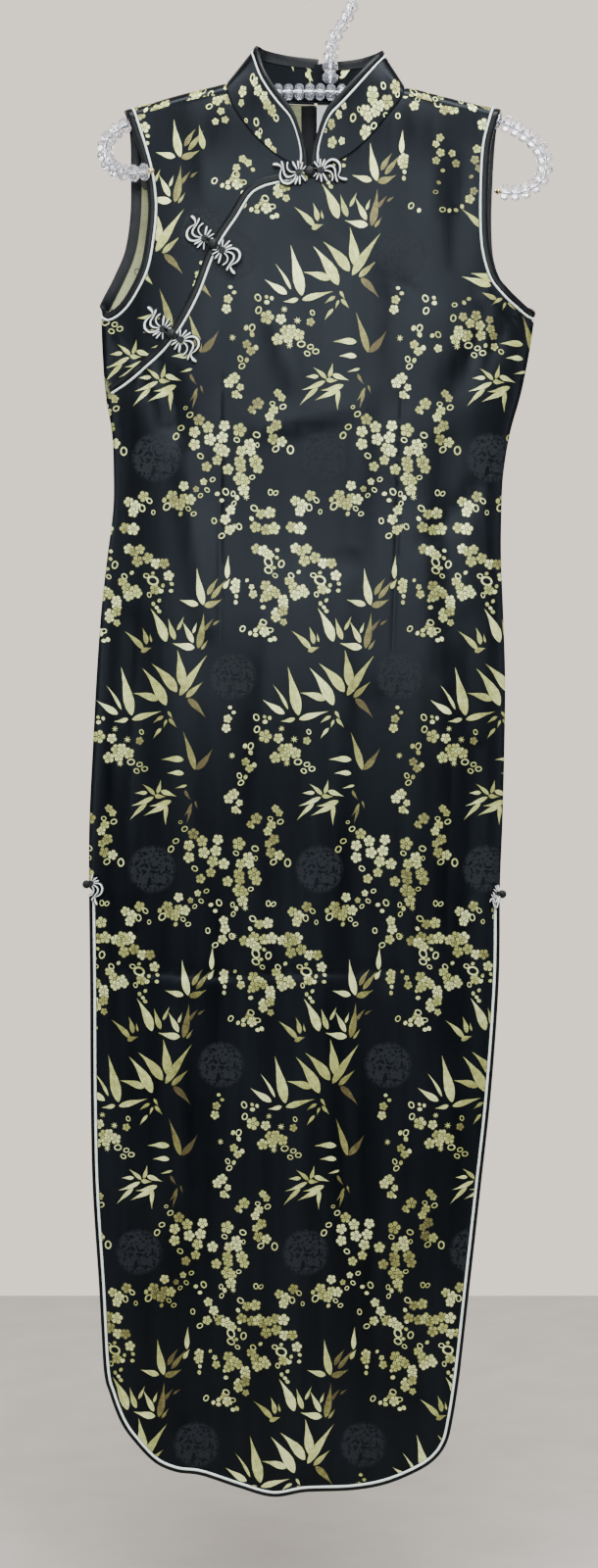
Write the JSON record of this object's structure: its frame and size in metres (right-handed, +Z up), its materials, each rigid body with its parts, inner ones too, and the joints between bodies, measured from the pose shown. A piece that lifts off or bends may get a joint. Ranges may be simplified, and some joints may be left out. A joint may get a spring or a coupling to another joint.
{
  "type": "cheongsam dress on a beaded hanger",
  "caption": "Long sleeveless brocade dress with a stand collar, a slanted front opening with knotted frogs, side slits and piped edges, hung flat on a clear beaded hanger.",
  "frame": {"origin": "the point inside the hanger's hook where it rests on a rail", "axes": "+Z up, -Y towards the front of the dress, +X towards the wearer's left, which is the viewer's right"},
  "size_m": [0.4573, 0.0525, 1.4846],
  "materials": {
    "brocade": "satin",
    "binding": "satin",
    "piping": "satin",
    "cord": "satin",
    "knot": "satin",
    "tape": "matte",
    "zip_metal": "satin",
    "label": "matte",
    "bead": "gloss",
    "wire": "gloss",
    "cap": "gloss"
  },
  "bodies": {
    "dress": {"front_main": "brocade", "front_upper_left": "brocade", "back_left": "brocade", "back_right": "brocade", "armhole_front_left_piping": "piping", "armhole_front_left_binding": "binding", "armhole_front_right_piping": "piping", "armhole_front_right_binding": "binding", "armhole_back_left_piping": "piping", "armhole_back_left_binding": "binding", "armhole_back_right_piping": "piping", "armhole_back_right_binding": "binding", "opening_piping": "piping", "opening_binding": "binding", "hem_front_piping": "piping", "hem_front_binding": "binding", "hem_back_piping": "piping", "hem_back_binding": "binding", "collar_left": "brocade", "collar_left_piping": "piping", "collar_left_binding": "binding", "collar_right": "brocade", "collar_right_piping": "piping", "collar_right_binding": "binding", "frog_neck_inner": "cord", "frog_neck_outer": "cord", "frog_neck_knot": "knot", "frog_chest_inner": "cord", "frog_chest_outer": "cord", "frog_chest_knot": "knot", "frog_side_inner": "cord", "frog_side_outer": "cord", "frog_side_knot": "knot", "frog_slit_left_front": "cord", "frog_slit_left_back": "cord", "frog_slit_left_knot": "knot", "frog_slit_right_front": "cord", "frog_slit_right_back": "cord", "frog_slit_right_knot": "knot", "zip_tape_left": "tape", "zip_tape_right": "tape", "zip_slider": "zip_metal", "neck_label": "label", "hanger_beads": "bead", "hanger_cap_left": "cap", "hanger_cap_right": "cap", "hanger_stem": "bead", "hanger_hook": "wire"},
    "zip_pull": {"zip_pull": "zip_metal"}
  },
  "joints": [
    {"name": "zip_pull_hinge", "type": "hinge", "parent": "dress", "child": "zip_pull", "pos_m": [-0.01483, 0.02014, -0.147], "axis": [1, 0, 0], "range_deg": [0, 160]}
  ]
}
